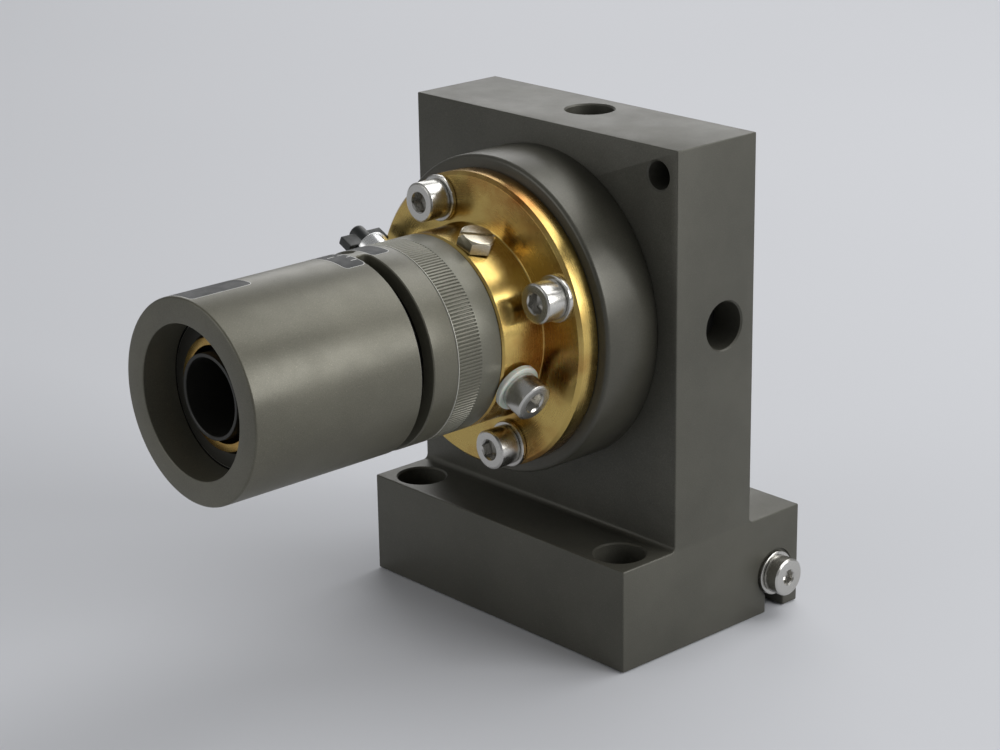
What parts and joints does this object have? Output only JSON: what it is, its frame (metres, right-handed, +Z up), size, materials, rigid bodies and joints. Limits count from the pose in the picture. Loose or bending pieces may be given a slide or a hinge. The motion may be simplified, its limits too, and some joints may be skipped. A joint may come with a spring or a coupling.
{
  "type": "laser collimator",
  "caption": "Laser collimator: upright dark anodised mounting block, brass flange and hub, knurled focus ring and a slotted, open-fronted barrel that holds the fibre end",
  "frame": {"origin": "middle of the base's underside, on the optical axis's vertical plane", "axes": "X across the block, Y along the optical axis with the barrel towards -Y, Z up"},
  "size_m": [0.0842, 0.1332, 0.11],
  "materials": {
    "block_anodise": "dark warm grey hard-anodised aluminium, fine-grained and matt",
    "adapter_anodise": "dark grey hard-anodised aluminium, turned and a little smoother",
    "barrel_anodise": "warm grey satin-anodised aluminium",
    "ring_anodise": "grey satin-anodised aluminium, knurled",
    "inner_black": "black anodised aluminium",
    "polished_brass": "turned and polished brass",
    "steel": "stainless steel fasteners",
    "nickel_screw": "nickel-plated steel",
    "bright_aluminium": "bright turned aluminium",
    "black_plastic": "black moulded plastic",
    "white_plastic": "translucent white nylon",
    "seal_rubber": "black rubber",
    "lens_glass": "coated optical glass"
  },
  "bodies": {
    "housing": {"mount_block": "block_anodise", "bore_adapter": "adapter_anodise", "adapter_set_screw_top": "steel", "adapter_set_screw_side": "steel", "brass_flange": "polished_brass", "flange_seal": "seal_rubber", "flange_washer_1": "steel", "flange_washer_2": "steel", "flange_washer_3": "steel", "flange_washer_4": "steel", "flange_screw_1": "steel", "flange_screw_2": "steel", "flange_screw_3": "steel", "flange_screw_4": "steel", "hub_hex_screw": "nickel_screw", "friction_washer": "white_plastic", "friction_screw": "steel", "core_tube": "inner_black", "front_barrel": "barrel_anodise", "front_guide_ring": "inner_black", "lens_cell": "inner_black", "front_lens": "lens_glass", "lens_spacer": "inner_black", "rear_lens": "lens_glass", "preload_spring": "steel", "lens_retainer": "inner_black", "window_seal": "seal_rubber", "exit_window": "lens_glass", "window_ring": "inner_black", "clamp_washer": "steel", "clamp_screw": "steel"},
    "focus_ring": {"focus_ring": "ring_anodise", "drive_pin": "steel"},
    "sleeve": {"sleeve_carrier": "inner_black", "brass_guide_tube": "polished_brass", "fibre_sleeve": "inner_black"},
    "thumb": {"thumb_screw": "bright_aluminium", "thumb_knob": "black_plastic"}
  },
  "joints": [
    {"name": "focus_turn", "type": "hinge", "parent": "housing", "child": "focus_ring", "pos_m": [0, -0.049, 0.07], "axis": [0, 1, 0], "range_deg": [-60.2, 60.2]},
    {"name": "sleeve_slide", "type": "slide", "parent": "housing", "child": "sleeve", "axis": [0, 1, 0], "range_m": [-0.002, 0.002]},
    {"name": "thumb_turn", "type": "hinge", "parent": "housing", "child": "thumb", "pos_m": [-0.02521, -0.0385, 0.08219], "axis": [-0.9003, 0, 0.4352], "range_deg": [-180, 180]}
  ],
  "couplings": [
    {"joint": "focus_turn", "follows": "sleeve_slide", "rad_per_m": 523.6}
  ]
}
